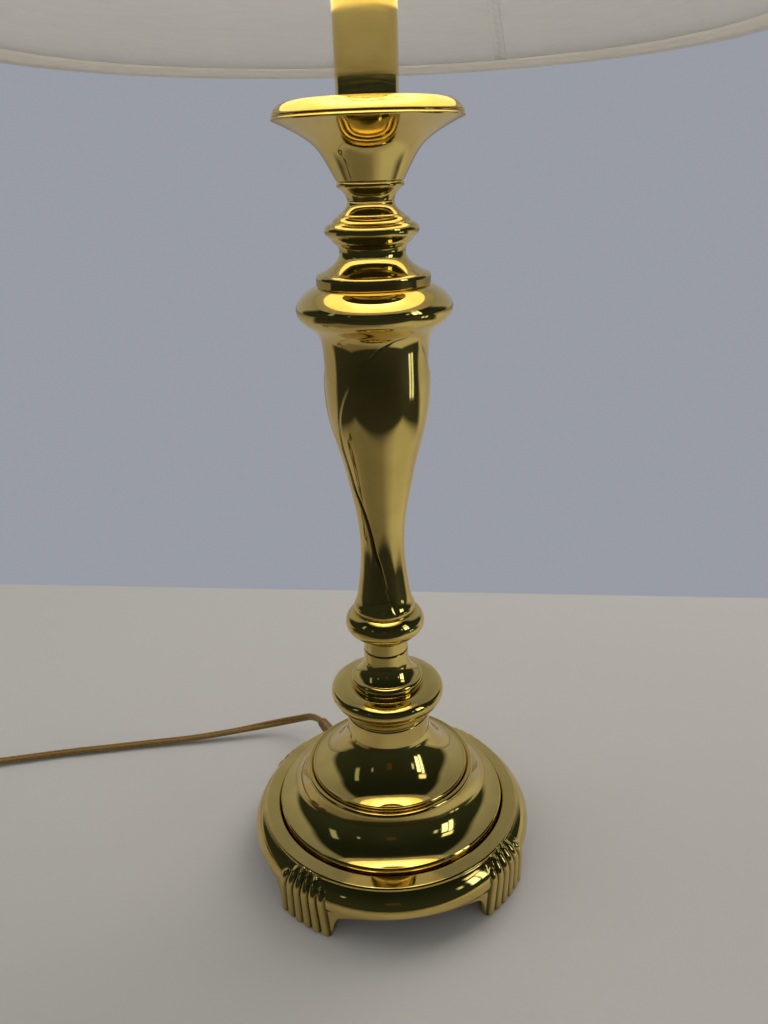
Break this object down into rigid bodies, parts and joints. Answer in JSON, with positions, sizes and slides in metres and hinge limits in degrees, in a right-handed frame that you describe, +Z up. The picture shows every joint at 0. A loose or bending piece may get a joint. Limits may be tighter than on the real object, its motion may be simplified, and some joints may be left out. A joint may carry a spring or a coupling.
{
  "type": "table lamp",
  "caption": "Table lamp with a turned brass column, a swirl-moulded shaft, reeded feet, a candle cup and tube, a harp and a wide cone-shaped fabric shade.",
  "frame": {"origin": "on the lamp's axis at the surface it stands on", "axes": "+Z up the lamp's axis; -Y towards the front, where the switch knob points; +X to the right seen from the front"},
  "size_m": [0.6379, 0.4016, 0.769],
  "materials": {
    "polished_brass": "polished",
    "tube_brass": "polished",
    "steel_plating": "plated",
    "weight_iron": "painted",
    "harp_brass": "satin",
    "shade_wire": "satin",
    "shade_cloth": "woven",
    "lining_cloth": "woven",
    "trim_tape": "woven",
    "socket_brass": "satin",
    "insulating_sleeve": "matte",
    "moulded_body": "matte",
    "switch_metal": "plated",
    "knob_plastic": "gloss",
    "lamp_glass": "frosted",
    "lamp_base": "satin",
    "lamp_contact": "gloss",
    "lead_plastic": "gloss",
    "bushing_plastic": "matte",
    "cord_plastic": "gloss",
    "tie_plastic": "matte",
    "plug_plastic": "satin",
    "blade_brass": "satin"
  },
  "bodies": {
    "lamp": {"base_casting": "polished_brass", "base_body": "polished_brass", "base_dome": "polished_brass", "lower_knop": "polished_brass", "column_collar": "polished_brass", "column": "polished_brass", "upper_knop": "polished_brass", "candle_cup": "polished_brass", "drip_pan": "polished_brass", "candle_tube": "tube_brass", "tube_cap": "tube_brass", "threaded_rod": "steel_plating", "base_washer": "steel_plating", "base_nut": "steel_plating", "socket_set_screw": "steel_plating", "base_weight": "weight_iron", "harp_saddle": "harp_brass", "socket_cap": "socket_brass", "socket_shell": "socket_brass", "socket_screw_shell": "socket_brass", "socket_contact": "socket_brass", "terminal_screw_left": "socket_brass", "terminal_screw_right": "socket_brass", "socket_insulator": "insulating_sleeve", "socket_body": "moulded_body", "inner_lead": "lead_plastic", "cord_bushing": "bushing_plastic", "cord_lead": "cord_plastic", "cord_coil": "cord_plastic", "cord_tie": "tie_plastic", "plug_body": "plug_plastic", "plug_blade_left": "blade_brass", "plug_blade_right": "blade_brass"},
    "switch": {"switch_shaft": "switch_metal", "switch_knob": "knob_plastic"},
    "bulb": {"bulb_base": "lamp_base", "bulb_tip": "lamp_contact", "bulb_glass": "lamp_glass"},
    "harp": {"harp": "harp_brass"},
    "sleeve_left": {"harp_sleeve_left": "harp_brass"},
    "sleeve_right": {"harp_sleeve_right": "harp_brass"},
    "shade": {"harp_stud": "harp_brass", "shade_spider": "shade_wire", "shade_fabric": "shade_cloth", "shade_lining": "lining_cloth", "shade_trim_top": "trim_tape", "shade_trim_bottom": "trim_tape", "shade_bottom_ring": "shade_wire"},
    "finial": {"finial": "harp_brass"}
  },
  "joints": [
    {"name": "switch_turn", "type": "hinge", "parent": "lamp", "child": "switch", "pos_m": [0, 0, 0.5567], "axis": [0, -1, 0], "continuous": true},
    {"name": "bulb_turn", "type": "hinge", "parent": "lamp", "child": "bulb", "pos_m": [0, 0, 0.58], "axis": [0, 0, 1], "continuous": true},
    {"name": "harp_lift", "type": "slide", "parent": "lamp", "child": "harp", "axis": [0, 0, 1], "range_m": [0, 0.012]},
    {"name": "sleeve_left_lift", "type": "slide", "parent": "harp", "child": "sleeve_left", "axis": [0, 0, 1], "range_m": [0, 0.012]},
    {"name": "sleeve_right_lift", "type": "slide", "parent": "harp", "child": "sleeve_right", "axis": [0, 0, 1], "range_m": [0, 0.012]},
    {"name": "shade_turn", "type": "hinge", "parent": "harp", "child": "shade", "pos_m": [0, 0, 0.735], "axis": [0, 0, 1], "continuous": true},
    {"name": "finial_turn", "type": "hinge", "parent": "shade", "child": "finial", "pos_m": [0, 0, 0.745], "axis": [0, 0, 1], "continuous": true}
  ]
}
